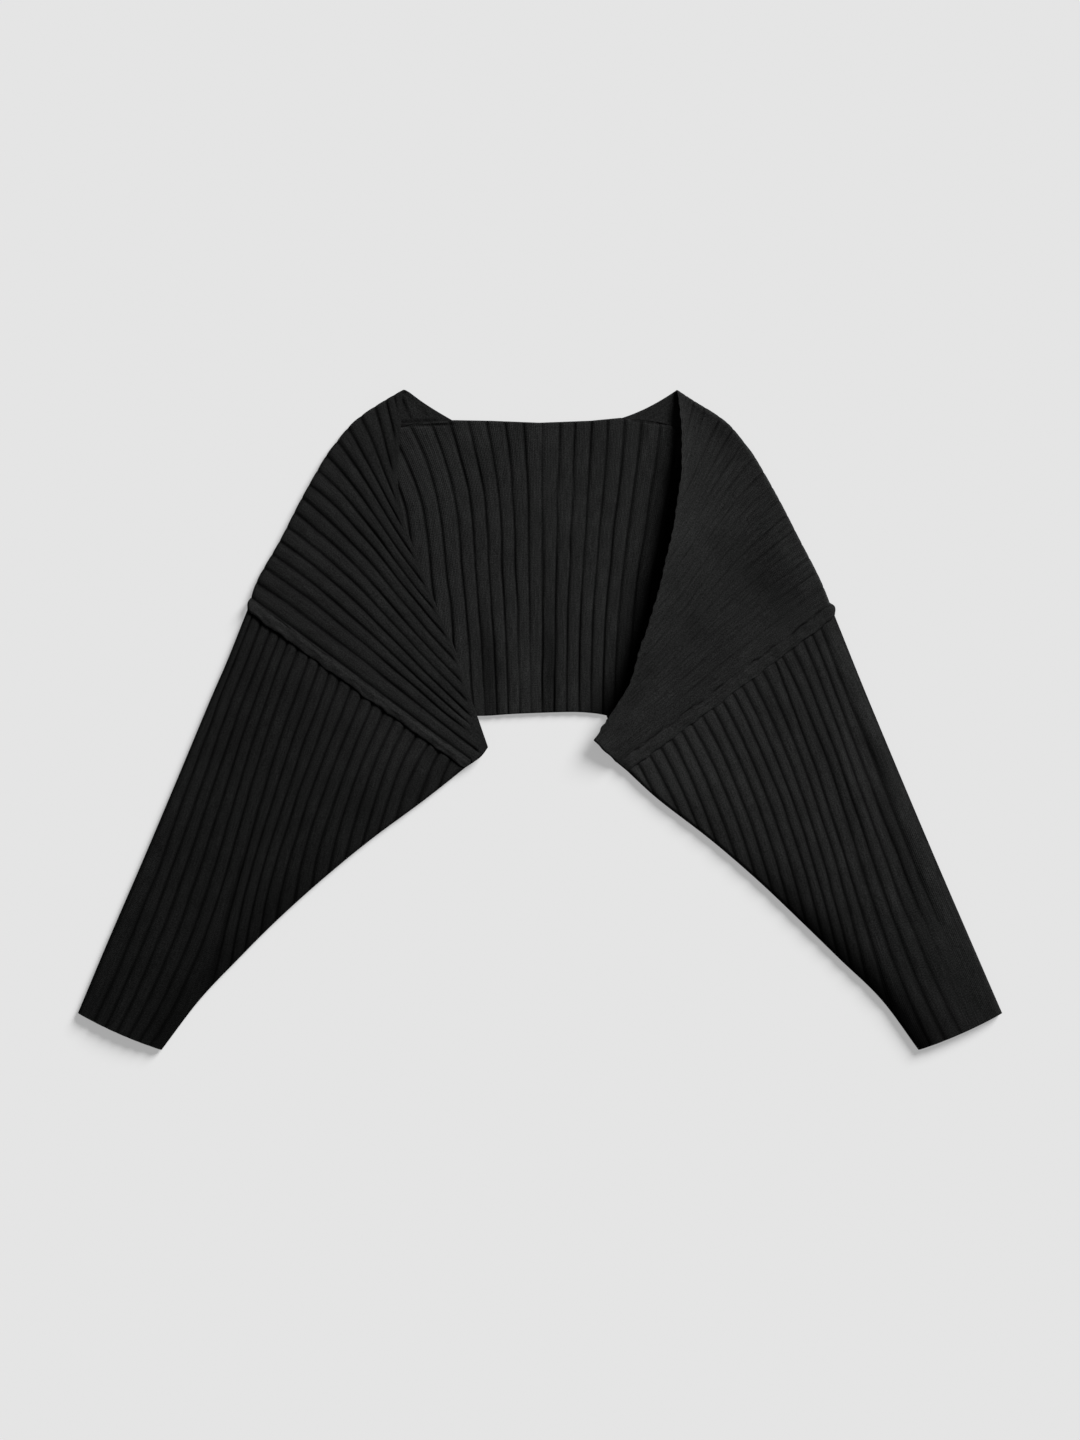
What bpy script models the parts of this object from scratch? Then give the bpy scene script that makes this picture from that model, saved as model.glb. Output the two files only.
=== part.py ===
# Ribbed knitted shrug laid flat, front up: a back, two fronts that wrap over the shoulders,
# and two long sleeves. All sizes are in millimetres from the middle of the laid garment,
# with x to the right, y towards the neck and z up from the surface that it lies on.
from collections import namedtuple

import bmesh
import bpy
import numpy as np

MM = 0.001

# the knit
WALL = 1.8  # cloth in the groove between two ribs
RIB = 1.4  # a rib's crown above its groove
RIB_SLOPE = 0.2  # share of the rib pitch between groove and crown
SEAM_GAP = 0.3  # clear gap between two sewn pieces
LAYER_GAP = 0.4  # clear gap between two layers that lie on each other
BACK_TOP = WALL + RIB
FLAP_UNDER = BACK_TOP + LAYER_GAP

# the fronts
FRONT_RIBS = 17
ROLL_WIDTH = {"left": 11.5, "right": 13.0}  # rolled seam allowance along the armhole
ROLL_HEIGHT = 3.6
FOLD_INSET = 3.6  # the shoulder fold rounds off this far in from the outline
STRIP_WIDTH = 27.0  # how far a front wraps under, from the fold to the shoulder seam
FLAP_ROWS = 8
MARGIN = 9.0  # smooth edge of a front, where its ribs run out
RIB_FACE = {"left": 1.0, "right": 0.35}  # how proud the ribs stand on each front
FLAP_LIFT = {"left": 1.2, "right": 13.5}  # how high the free edge stands off the back
NECK_DIP = {"left": 0.6, "right": 2.6}  # hollow of the neck edge beside the peak

# the sleeves
SLEEVE_RIBS = {"left": 21, "right": 20}
CUFF_RIBS = {"left": 7, "right": 6}
EDGE_RIB = 0.3  # where the column beside a folded edge stands
SLEEVE_ROWS = 10
UNDER_LAYER = 2.0  # lower layer of a sleeve
SLEEVE_HOLLOW = 1.0  # between the layers at the folded edges
SLEEVE_LOFT = 2.6  # more hollow in the middle
LOFT_REACH = 20.0
SLEEVE_FOLD = 3.6
CUFF_BOW = 2.0
LEAST_HOLLOW = 0.4

# the back
BACK_ROWS = 9
BACK_MIDDLE = 3.2  # x of the middle groove
BACK_FIRST_RIB, BACK_LAST_RIB = -19, 18
BACK_PITCH, BACK_SIDE_PITCH, PITCH_CHANGE = 11.4, 13.5, 6

SIDES = {"left": -1, "right": 1}
MIDDLE_X, MIDDLE_Y = 1.0, 0.3  # centre of the outline, which becomes the origin

# Outlines. left and right are distances out from the middle line.
Row = namedtuple("Row", "y left right")
SHOULDER_FOLD = [
    Row(304, 125, 127), Row(293, 144, 144), Row(282, 161, 162), Row(271, 174, 176),
    Row(254, 188, 190), Row(240, 198, 200), Row(203, 219, 221), Row(166, 238, 240),
    Row(129, 259, 259),
]
FREE_EDGE = [
    Row(304, 125, 127), Row(264, 127, 131), Row(225, 130, 130), Row(185, 124, 124),
    Row(148, 111, 116), Row(105, 94, 105), Row(65, 77, 92), Row(33, 67, 82), Row(8, 58, 67),
]
SLEEVE_OUTER = [
    Row(56, 286, 288), Row(19, 302, 303), Row(-55, 333, 334), Row(-128, 364, 365),
    Row(-202, 396, 397), Row(-269, 424, 426),
]
SLEEVE_UNDER = [
    Row(-303, 347, 349), Row(-257, 312, 315), Row(-220, 277, 277), Row(-184, 241, 240),
    Row(-147, 200, 201), Row(-110, 155, 158), Row(-73, 105, 110),
]
Point = namedtuple("Point", "side out y")
FREE_FOOT = [
    Point("left", 46.7, -24.7), Point("left", 53.8, -33.9), Point("left", 68, -43.7),
    Point("right", 50.2, -18.5), Point("right", 64.9, -33), Point("right", 81, -46.5),
]
ARMHOLE_TOP = {"left": Point("left", 268, 101.7), "right": Point("right", 272, 96.1)}
UNDERARM = {"left": FREE_FOOT[2], "right": FREE_FOOT[5]}
SHOULDER_SEAM = [
    Point("left", 79, 275.6), Point("left", 104, 273.3), Point("left", 126, 269.5),
    Point("left", 142, 262), Point("left", 155, 251.5), Point("left", 175, 226),
    Point("left", 195, 190), Point("left", 215, 153), Point("left", 235, 116),
    Point("right", 75, 277.7), Point("right", 100, 274.6), Point("right", 123, 270.2),
    Point("right", 141, 262.3), Point("right", 155, 251.5), Point("right", 176, 226),
    Point("right", 196, 190), Point("right", 216, 153), Point("right", 236, 116),
]
Edge = namedtuple("Edge", "x y")
NECKLINE = [Edge(-79, 275.6), Edge(-45, 275.5), Edge(0, 273.7), Edge(47, 275.5), Edge(75, 277.7)]
HEM = [Edge(-60, 4), Edge(-45, 4.3), Edge(-20, 6), Edge(28, 7.6), Edge(50, 6.5), Edge(62, 4.5)]

# How the ribs of the back draw together from neck to hem.
Fan = namedtuple("Fan", "y left right")
BACK_FAN = [
    Fan(-40, 0.90, 0.95), Fan(10, 0.93, 0.965), Fan(92, 1.02, 1.01), Fan(155, 1.10, 1.11),
    Fan(203, 1.18, 1.20), Fan(240, 1.32, 1.265), Fan(271, 1.49, 1.31), Fan(310, 1.72, 1.36),
]
# Where the grooves of a sleeve start, as a share of the armhole seam from its outer end, where
# they end, up the underarm edge from the cuff or back along the cuff, and how steep they are.
Line = namedtuple("Line", "rib seam end start_slope end_slope")
SLEEVE_FAN = {
    "left": [
        Line(0, 0, -84, 67, 67), Line(0.3, 0.015, -80, 67, 67), Line(1, 0.03, -67, 66, 64),
        Line(3, 0.112, -44, 66, 63), Line(6, 0.238, -11.5, 65, 56), Line(7, 0.287, 0, 66, 54),
        Line(8, 0.333, 99, 70, 81), Line(12, 0.529, 180, 68, 82), Line(16, 0.727, 262, 60, 77),
        Line(20, 0.941, 351, 57, 78), Line(20.7, 0.985, 363, 42, 42), Line(21, 1, 363, 38, 38),
    ],
    "right": [
        Line(0, 0, -84, 67, 67), Line(0.3, 0.021, -80, 67, 67), Line(1, 0.071, -67, 67, 64),
        Line(3, 0.156, -41, 66, 63), Line(5, 0.258, -11, 62, 62), Line(6, 0.305, 0, 62, 60),
        Line(7, 0.352, 77, 63, 78), Line(8, 0.403, 97, 62, 78), Line(12, 0.593, 175, 58, 75),
        Line(16, 0.789, 265, 59, 71), Line(19, 0.947, 336, 62, 65),
        Line(19.7, 0.985, 357, 46, 46), Line(20, 1, 357, 42, 42),
    ],
}
# Soft folds: the middle, the heading of the fold from the x axis, half its length and width,
# and how far it rises. A hollow has a negative rise.
Fold = namedtuple("Fold", "piece out y heading reach width rise")
FOLDS = [
    Fold("sleeve_right", 306, -40, -63, 42, 9, -2.4),
    Fold("sleeve_right", 289, -62, -66, 60, 10, 1.8),
    Fold("sleeve_right", 332, -150, -72, 70, 8, -1.2),
    Fold("sleeve_right", 322, -240, -52, 60, 15, 2.0),
    Fold("sleeve_left", 296, -40, -66, 30, 12, -1.2),
    Fold("sleeve_left", 140, -52, -38, 40, 18, 1.4),
    Fold("sleeve_left", 250, -165, -42, 60, 14, 1.2),
    Fold("front_right", 230, 150, -62, 60, 17, 3.0),
    Fold("front_right", 150, 120, -50, 60, 26, 1.2),
    Fold("front_left", 190, 165, -45, 60, 22, 1.2),
]
# Where the grooves of a front start along the fold, at what y they reach its free edge, and
# how steeply they start and end.
Rib = namedtuple("Rib", "groove start end start_slope end_slope")
FRONT_FAN = [
    Rib(0, 0, 291, 88, 88), Rib(1, 9.4, 270, 84, 84), Rib(2, 18.5, 244, 78, 79),
    Rib(3, 30.5, 217, 73, 66), Rib(5, 62.5, 166, 57, 56), Rib(7, 95, 119, 43, 46),
    Rib(9, 125.5, 72, 37, 44), Rib(11, 155, 30, 35, 43), Rib(13, 184.5, -4, 33, 41),
    Rib(15, 213.5, -24, 32, 36), Rib(16, 228.5, -32, 33, 37), Rib(17, 243, -38.5, 36, 36),
]


def smooth_line(points, steps=16):
    """A smooth curve through the points, as many short straight runs."""
    points = np.array(points, float)
    more = np.vstack([2 * points[0] - points[1], points, 2 * points[-1] - points[-2]])
    share = np.linspace(0, 1, steps, endpoint=False)[:, None]
    runs = [
        0.5 * (2 * b + (c - a) * share + (2 * a - 5 * b + 4 * c - d) * share**2
               + (3 * b - a - 3 * c + d) * share**3)
        for a, b, c, d in zip(more[:-3], more[1:-2], more[2:-1], more[3:])
    ]
    return np.vstack(runs + [points[-1:]])


def lengths(line):
    return np.concatenate([[0], np.cumsum(np.linalg.norm(np.diff(line, axis=0), axis=1))])


def along(line, share):
    """Points at a share of the line's length."""
    run = lengths(line)
    at = np.clip(np.asarray(share, float), 0, 1) * run[-1]
    return np.stack([np.interp(at, run, line[:, 0]), np.interp(at, run, line[:, 1])], -1)


def distance_to(line, points):
    gaps = points[..., None, :] - line
    return np.sqrt((gaps**2).sum(-1)).min(-1)


def unit(vector):
    return vector / np.linalg.norm(vector, axis=-1, keepdims=True)


def fold_height(piece, flat):
    """How far the soft folds lift a layer at each flat place."""
    height = np.zeros(flat.shape[:-1])
    for fold in FOLDS:
        if fold.piece == piece:
            way = np.array([np.cos(np.radians(fold.heading)), np.sin(np.radians(fold.heading))])
            off = flat - np.array([fold.out, fold.y])
            lengthwise = off @ way / fold.reach
            crosswise = off @ np.array([-way[1], way[0]]) / fold.width
            height += fold.rise * np.exp(-lengthwise**2 - crosswise**2)
    return height


def armhole(side, towards_body):
    """Both ends of the straight armhole seam, on its body side or its sleeve side."""
    outer, under = [np.array([end[side].out, end[side].y]) for end in (ARMHOLE_TOP, UNDERARM)]
    run = unit(under - outer)
    towards = np.array([run[1], -run[0]])
    if towards[1] < 0:
        towards = -towards
    shift = towards * SEAM_GAP / 2 * (1 if towards_body else -1)
    return outer + shift, under + shift


def rib_columns(first, last):
    """Positions across the ribs, and how far each stands towards the crown."""
    places, rise = [], []
    for rib in range(first, last):
        places += [rib, rib + RIB_SLOPE, rib + 1 - RIB_SLOPE]
        rise += [0, 1, 1]
    return np.array(places + [last], float), np.array(rise + [0], float)


def solid_from(name, side, build):
    """One closed object from a function that adds its faces to an empty mesh."""
    mesh = bmesh.new()
    build(mesh, SIDES.get(side, 1))
    bmesh.ops.recalc_face_normals(mesh, faces=mesh.faces)
    if mesh.calc_volume(signed=True) < 0:
        bmesh.ops.reverse_faces(mesh, faces=mesh.faces)
    bmesh.ops.triangulate(mesh, faces=mesh.faces)
    bmesh.ops.translate(mesh, verts=mesh.verts, vec=(-MIDDLE_X * MM, -MIDDLE_Y * MM, 0))
    data = bpy.data.meshes.new(name)
    mesh.to_mesh(data)
    mesh.free()
    data.materials.append(knit_colour(name))
    bpy.context.scene.collection.objects.link(bpy.data.objects.new(name, data))


def knit_colour(name):
    colour = bpy.data.materials.new(name + "_knit")
    colour.use_nodes = True
    surface = colour.node_tree.nodes["Principled BSDF"]
    surface.inputs["Base Color"].default_value = (0.012, 0.012, 0.013, 1)
    surface.inputs["Roughness"].default_value = 0.95
    return colour


def add_grid(mesh, sign, flat, height):
    """Vertices for a grid of points, columns first."""
    return [
        [mesh.verts.new((sign * x * MM, y * MM, z * MM)) for (x, y), z in zip(line, tops)]
        for line, tops in zip(flat, height)
    ]


def cover(mesh, first, second):
    """Faces between two rows, where one may have several runs to each run of the other."""
    if len(first) < len(second):
        first, second = second, first
    ratio = (len(first) - 1) // (len(second) - 1)
    for step in range(len(second) - 1):
        fine = first[step * ratio:(step + 1) * ratio + 1]
        mesh.faces.new(fine + [second[step + 1], second[step]])


def cover_grid(mesh, grid):
    for first, second in zip(grid, grid[1:]):
        cover(mesh, first, second)


def row(grid, index):
    return [column[index] for column in grid]


def fan(ribs, name):
    """A column of the front's table, at any place across its ribs."""
    table = smooth_line([(rib.groove, getattr(rib, name)) for rib in FRONT_FAN])
    return np.interp(ribs, table[:, 0], table[:, 1])


def front_lines(side):
    """Functions that place a point of the flap or the strip, by rib and distance from the fold."""
    outer, under = armhole(side, towards_body=True)
    fold = smooth_line([(getattr(row, side), row.y) for row in SHOULDER_FOLD] + [tuple(outer)])
    foot = [(spot.out, spot.y) for spot in FREE_FOOT if spot.side == side]
    free = smooth_line([(getattr(row, side), row.y) for row in FREE_EDGE] + foot[:1])
    free = np.vstack([free[:-1], smooth_line(foot)])[::-1]
    seam = [(spot.out, spot.y) for spot in SHOULDER_SEAM if spot.side == side]
    seam = smooth_line(seam + [tuple(outer + STRIP_WIDTH * unit(under - outer))])
    to_roll = 1 - ROLL_WIDTH[side] / lengths(fold)[-1]

    def fold_at(ribs):
        share = np.where(ribs < FRONT_RIBS, fan(ribs, "start") / FRONT_FAN[-1].start * to_roll,
                         to_roll + (1 - to_roll) * (ribs - FRONT_RIBS))
        return along(fold, share)

    def flap(ribs, distance=None, share=None):
        start = fold_at(ribs)
        end_y = fan(ribs, "end")
        end = np.stack([np.interp(end_y, free[:, 1], free[:, 0]), end_y], -1)
        past = np.clip(ribs - FRONT_RIBS, 0, 1)[:, None]
        end = end * (1 - past) + under * past
        reach = np.linalg.norm(end - start, axis=-1)
        share = np.asarray(distance / reach if share is None else share)
        slopes = [np.radians(fan(ribs, name)) for name in ("start_slope", "end_slope")]
        leave, arrive = [np.stack([-np.cos(s), -np.sin(s)], -1) for s in slopes]
        run = unit(under - outer)
        leave, arrive = [unit(way * (1 - past) + run * past) for way in (leave, arrive)]
        s, reach = share[:, None], reach[:, None]
        return (start * (2 * s**3 - 3 * s**2 + 1) + leave * reach * (s**3 - 2 * s**2 + s)
                + end * (3 * s**2 - 2 * s**3) + arrive * reach * (s**3 - s**2))

    def flap_reach(ribs):
        return np.linalg.norm(flap(ribs, share=np.ones_like(ribs)) - fold_at(ribs), axis=-1)

    def strip(ribs, distance=None, share=None):
        start, end = fold_at(ribs), along(seam, ribs / (FRONT_RIBS + 1))
        reach = np.linalg.norm(end - start, axis=-1)
        share = np.asarray(distance / reach if share is None else share)
        hollow = NECK_DIP[side] * np.exp(-ribs / 2) * 4 * share * (1 - share)
        spot = start + (end - start) * share[:, None]
        return spot - np.stack([0 * hollow, hollow], -1)

    return flap, flap_reach, strip


def front(side):
    flap, flap_reach, strip = front_lines(side)
    ribs, rise = rib_columns(0, FRONT_RIBS)
    ribs = np.concatenate([ribs, FRONT_RIBS + np.array([0.25, 0.75, 1.0])])
    rise = np.concatenate([rise * RIB_FACE[side] * RIB, ROLL_HEIGHT * np.array([0.9, 1.0, 0.3])])
    on_roll = ribs > FRONT_RIBS
    reach = flap_reach(ribs)
    begin = FOLD_INSET / reach
    outer, inner = [], []

    def level(flat, value):
        return flat, np.broadcast_to(value, ribs.shape).astype(float)

    for step in range(FLAP_ROWS, -1, -1):
        share = begin + (1 - begin) * step / FLAP_ROWS
        from_edge = (1 - share) * reach
        fade = np.where(on_roll, 1, np.clip(from_edge / MARGIN, 0, 1) ** 0.5)
        flat = flap(ribs, share=share)
        lift = FLAP_LIFT[side] * lift_shape(np.minimum(ribs / FRONT_RIBS, 1), share)
        soft = np.clip(share * reach / 20, 0, 1) * np.clip((FRONT_RIBS + 1 - ribs) / 3, 0, 1)
        lift = np.maximum(lift + fold_height("front_" + side, flat) * soft, 0)
        outer.append(level(flat, FLAP_UNDER + lift + WALL + rise * fade))
        inner.append(level(flat, FLAP_UNDER + lift))
    full = np.ones_like(ribs)
    half_rise = np.where(on_roll, rise * 0.7, rise * 0.5)
    outer.append(level(flap(ribs, distance=1.0 * full), FLAP_UNDER + WALL - 0.6 + half_rise))
    outer.append(level(flap(ribs, distance=0.4 * (1 - np.minimum(rise, 1))), BACK_TOP))
    outer.append(level(strip(ribs, distance=1.0 * full), 1.0))
    inner.append(level(flap(ribs, distance=3.0 * full), FLAP_UNDER - 0.05))
    inner.append(level(flap(ribs, distance=2.6 * full), FLAP_UNDER - 0.2))
    inner.append(level(strip(ribs, distance=3.0 * full), BACK_TOP - 0.05))
    strip_rise = np.where(on_roll, 1, np.minimum(rise / RIB / RIB_FACE[side], 1)) * RIB
    for share in (0, 0.16, 0.55, 1):
        strip_reach = FOLD_INSET / STRIP_WIDTH
        flat = strip(ribs, share=(strip_reach + (1 - strip_reach) * share) * full)
        outer.append(level(flat, 0))
        inner.append(level(flat, BACK_TOP - 0.1 if share == 0 else WALL + strip_rise))

    def build(mesh, sign):
        sheets = [[add_grid(mesh, sign, [flat], [tops])[0] for flat, tops in rows]
                  for rows in (outer, inner)]
        for sheet in sheets:
            cover_grid(mesh, sheet)
        for end in (0, -1):
            cover(mesh, sheets[0][end], sheets[1][end])
            cover(mesh, row(sheets[0], end), row(sheets[1], end))

    solid_from("front_" + side, side, build)


def lift_shape(across, share):
    """How a front's free edge rises off the back: most at mid length, none at its two ends."""
    edge = np.clip((share - 0.1) / 0.9, 0, 1)
    return edge**1.3 * np.sin(np.pi * np.clip(across, 0, 1) ** 0.7) ** 0.6


def back():
    ribs, rise = rib_columns(BACK_FIRST_RIB, BACK_LAST_RIB)
    far = max(-BACK_FIRST_RIB, BACK_LAST_RIB)
    steps = np.arange(far + 1)
    spots = np.where(steps <= PITCH_CHANGE, steps * BACK_PITCH,
                     PITCH_CHANGE * BACK_PITCH + (steps - PITCH_CHANGE) * BACK_SIDE_PITCH)
    out = np.sign(ribs) * np.interp(np.abs(ribs), steps, spots)
    fans = [smooth_line([(fan.y, getattr(fan, side)) for fan in BACK_FAN]) for side in SIDES]

    def across(y):
        return BACK_MIDDLE + out * np.where(out < 0, *[np.interp(y, *fan.T) for fan in fans])

    def meet(edge):
        """Where each rib line crosses an edge, by halving."""
        low, high = np.full_like(out, -60.0), np.full_like(out, 310.0)
        for _ in range(40):
            middle = (low + high) / 2
            over = middle > edge(across(middle))
            low, high = np.where(over, low, middle), np.where(over, middle, high)
        return (low + high) / 2

    top = [(spot.x, spot.y) for spot in NECKLINE[1:-1]]
    bottom = [tuple(spot) for spot in smooth_line(HEM)]
    for side, sign in SIDES.items():
        outer, under = armhole(side, towards_body=True)
        bottom += [(sign * outer[0], outer[1]), (sign * under[0], under[1])]
        seam = [(spot.out, spot.y) for spot in SHOULDER_SEAM if spot.side == side]
        seam = smooth_line(seam + [tuple(outer + STRIP_WIDTH * unit(under - outer))])
        run = unit(np.gradient(seam, axis=0))
        seam = seam + 1.4 * SEAM_GAP * np.stack([run[:, 1], -run[:, 0]], -1)
        top += [(sign * x, y) for x, y in seam]
    top, bottom = np.array(sorted(top)), np.array(sorted(bottom))

    upper = meet(lambda x: np.interp(x, top[:, 0], top[:, 1]))
    lower = meet(lambda x: np.interp(x, bottom[:, 0], bottom[:, 1]))
    face, under_face = [], []
    for step in range(BACK_ROWS + 1):
        y = upper + (lower - upper) * step / BACK_ROWS
        flat = np.stack([across(y), y], -1)
        face.append((flat, WALL + RIB * rise))
        under_face.append((flat[::3], np.zeros(len(flat[::3]))))

    def build(mesh, sign):
        sheets = [[add_grid(mesh, sign, [flat], [tops])[0] for flat, tops in rows]
                  for rows in (face, under_face)]
        for sheet in sheets:
            cover_grid(mesh, sheet)
        for end in (0, -1):
            cover(mesh, sheets[0][end], sheets[1][end])
            cover(mesh, row(sheets[0], end), row(sheets[1], end))

    solid_from("back", None, build)


def sleeve_places(side):
    """Flat places of a sleeve's ribs, and the outline points beside its folded edges."""
    outer, under = armhole(side, towards_body=False)
    outside = smooth_line([tuple(outer)] + [(getattr(spot, side), spot.y) for spot in SLEEVE_OUTER])
    inside = smooth_line([(getattr(spot, side), spot.y) for spot in SLEEVE_UNDER] + [tuple(under)])
    cuff_out, cuff_in = outside[-1], inside[0]
    cuff_width, inward = np.linalg.norm(cuff_out - cuff_in), unit(cuff_out - cuff_in)
    bow = np.array([inward[1], -inward[0]])
    bow = bow if bow[1] < 0 else -bow
    last = SLEEVE_RIBS[side]
    ribs, rise = rib_columns(0, last)
    ribs[0], ribs[1], rise[0] = EDGE_RIB, 0.5, 1
    ribs[-1], ribs[-2], rise[-1] = last - EDGE_RIB, last - 0.5, 1
    table = np.array(SLEEVE_FAN[side])
    seam, run, *slopes = [np.interp(ribs, table[:, 0], column)[:, None] for column in table.T[1:]]
    start = outer + (under - outer) * seam
    cuff = np.clip(1 + run / cuff_width, 0, 1 - SLEEVE_FOLD / cuff_width)
    on_cuff = cuff_out + (cuff_in - cuff_out) * cuff + bow * CUFF_BOW * 4 * cuff * (1 - cuff)
    under_edge = along(inside, np.maximum(run[:, 0], 0) / lengths(inside)[-1])
    end = np.where(run <= 0, on_cuff, under_edge + inward * SLEEVE_FOLD)
    reach = np.linalg.norm(end - start, axis=-1)[:, None]
    leave, arrive = [
        np.hstack([np.cos(np.radians(slope)), -np.sin(np.radians(slope))]) * reach
        for slope in slopes
    ]
    flat = []
    for step in range(SLEEVE_ROWS + 1):
        s = step / SLEEVE_ROWS
        side_bow = along(outside, s) - (outer + (cuff_out - outer) * s)
        flat.append(start * (2 * s**3 - 3 * s**2 + 1) + leave * (s**3 - 2 * s**2 + s)
                    + end * (3 * s**2 - 2 * s**3) + arrive * (s**3 - s**2)
                    + side_bow * (1 - ribs / last)[:, None])
    last_share = table[-1][2] / lengths(inside)[-1]
    short_side = along(inside, last_share + (1 - last_share) * np.arange(1, SLEEVE_ROWS + 1)
                       / SLEEVE_ROWS)
    edge_out = along(outside, np.arange(SLEEVE_ROWS + 1) / SLEEVE_ROWS)
    edge_in = np.vstack([under_edge[3 * CUFF_RIBS[side]::3], short_side])
    return np.array(flat), rise, edge_out, edge_in, outside, inside


def sleeve(side):
    flat, rise, edge_out, edge_in, outside, inside = sleeve_places(side)
    inner_share = 1.0
    for line in (outside, inside):
        inner_share = inner_share * (1 - np.exp(-distance_to(line, flat) / LOFT_REACH))
    soft = np.clip(3 * inner_share, 0, 1)
    hollow = SLEEVE_HOLLOW + SLEEVE_LOFT * inner_share + fold_height("sleeve_" + side, flat) * soft
    ceiling = UNDER_LAYER + np.maximum(hollow, LEAST_HOLLOW)
    coarse = flat[:, ::3]
    all_ribs, cuff_ribs = SLEEVE_RIBS[side], CUFF_RIBS[side]

    def build(mesh, sign):
        top = add_grid(mesh, sign, flat, ceiling + WALL + RIB * rise)
        under_top = add_grid(mesh, sign, coarse, ceiling[:, ::3])
        floor = add_grid(mesh, sign, coarse, np.full(coarse.shape[:2], UNDER_LAYER))
        base = add_grid(mesh, sign, coarse, np.zeros(coarse.shape[:2]))
        for sheet in (top, under_top, floor, base):
            cover_grid(mesh, sheet)

        def path(sheet, step):
            """Border of a sheet along the underarm: up the rib ends, then the short side."""
            ends = sheet[-1][cuff_ribs * step:]
            return ends + [line[-1] for line in reversed(sheet[:-1])]

        def turn(upper, lower, edge, bulge):
            """Points between two sheets, round a folded edge."""
            ring = []
            for share, pull in bulge:
                spots = []
                for high, low, (x, y) in zip(upper, lower, edge):
                    place = high.co.lerp(low.co, 0.5)
                    z = high.co.z + (low.co.z - high.co.z) * share
                    spots.append(mesh.verts.new((
                        sign * x * MM + (place.x - sign * x * MM) * pull,
                        y * MM + (place.y - y * MM) * pull, z)))
                ring.append(spots)
            return ring

        outer_bulge = [(0.18, 0.28), (0.5, 0.0), (0.82, 0.28)]
        inner_bulge = [(0.25, 0.80), (0.5, 0.72), (0.75, 0.80)]
        rings = []
        for edge, border in (
            (edge_out, lambda sheet, step: row(sheet, 0)),
            (edge_in, path),
        ):
            high, low = border(top, 3), border(base, 1)
            inner_high, inner_low = border(under_top, 1), border(floor, 1)
            thin = high
            if border is path:
                ribs = 3 * (all_ribs - cuff_ribs)
                thin = high[:ribs + 1:3] + high[ribs + 1:]
            around = turn(thin, low, edge, outer_bulge)
            within = turn(inner_high, inner_low, edge, inner_bulge)
            if border is path:
                ribs = all_ribs - cuff_ribs
                cover(mesh, high[:3 * ribs + 1], around[0][:ribs + 1])
                cover(mesh, high[3 * ribs:], around[0][ribs:])
            else:
                cover(mesh, high, around[0])
            for first, second in zip(around, around[1:] + [low]):
                cover(mesh, first, second)
            for first, second in zip([inner_high] + within, within + [inner_low]):
                cover(mesh, first, second)
            rings.append(([thin] + around + [low], [inner_high] + within + [inner_low]))
        # the rims of the armhole and the cuff
        for end, last in ((0, all_ribs), (-1, cuff_ribs)):
            cover(mesh, top[end][:3 * last + 1], under_top[end][:last + 1])
            cover(mesh, floor[end][:last + 1], base[end][:last + 1])
        for (outer_ring, inner_ring), ends in zip(rings, ((0, -1), (-1, 0))):
            for end in ends:
                cover(mesh, [line[end] for line in outer_ring], [line[end] for line in inner_ring])

    solid_from("sleeve_" + side, side, build)


for old in list(bpy.data.objects):
    bpy.data.objects.remove(old, do_unlink=True)

back()
for name in SIDES:
    front(name)
    sleeve(name)
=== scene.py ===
# Looks of a black ribbed knitted shrug, laid flat with its fronts folded over the back.
# Sizes are in millimetres from the middle of the laid garment, as its solids are, with x to the
# right, y towards the neck and z up. "out" is a distance from the middle line on either side.
from collections import namedtuple

import bmesh
import bpy
import numpy as np
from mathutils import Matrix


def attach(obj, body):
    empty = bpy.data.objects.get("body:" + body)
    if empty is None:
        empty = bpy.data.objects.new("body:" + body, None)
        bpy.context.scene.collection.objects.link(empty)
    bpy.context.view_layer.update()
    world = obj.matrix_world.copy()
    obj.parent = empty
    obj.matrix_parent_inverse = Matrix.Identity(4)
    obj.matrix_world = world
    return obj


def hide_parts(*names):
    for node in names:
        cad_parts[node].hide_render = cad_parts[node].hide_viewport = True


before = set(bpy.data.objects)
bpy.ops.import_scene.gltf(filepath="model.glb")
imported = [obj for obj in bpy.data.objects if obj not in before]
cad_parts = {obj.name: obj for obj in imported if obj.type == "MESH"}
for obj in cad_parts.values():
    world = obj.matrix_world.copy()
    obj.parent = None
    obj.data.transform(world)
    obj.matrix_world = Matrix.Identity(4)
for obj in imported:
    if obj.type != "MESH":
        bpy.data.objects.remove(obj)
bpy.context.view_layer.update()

MM = 0.001
SIDES = {"left": -1, "right": 1}
MIDDLE = np.array([1.0, 0.3, 0.0])  # centre of the outline, which is the origin

# the knit
WALL = 1.8
RIB = 1.4
SEAM_GAP = 0.04
SEAM_LAP = 0.5  # how far the back reaches into its seams with the fronts
BACK_TOP = WALL + RIB
FLAP_UNDER = BACK_TOP + 0.4
HIDDEN_RELIEF = 0.8  # share of the ribs' height on the faces that lie below
# How wide the grooves are and how round the crowns, as shares of the ribs, and how deep they are.
Knit = namedtuple("Knit", "groove dome depth")
KNIT = {
    "back": Knit(0.08, 0.25, RIB),
    "front_left": Knit(0.12, 0.4, RIB),
    "front_right": Knit(0.07, 0.1, 0.5),
    "sleeve_left": Knit(0.10, 0.3, RIB),
    "sleeve_right": Knit(0.12, 0.5, RIB * 0.72),
}

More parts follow.
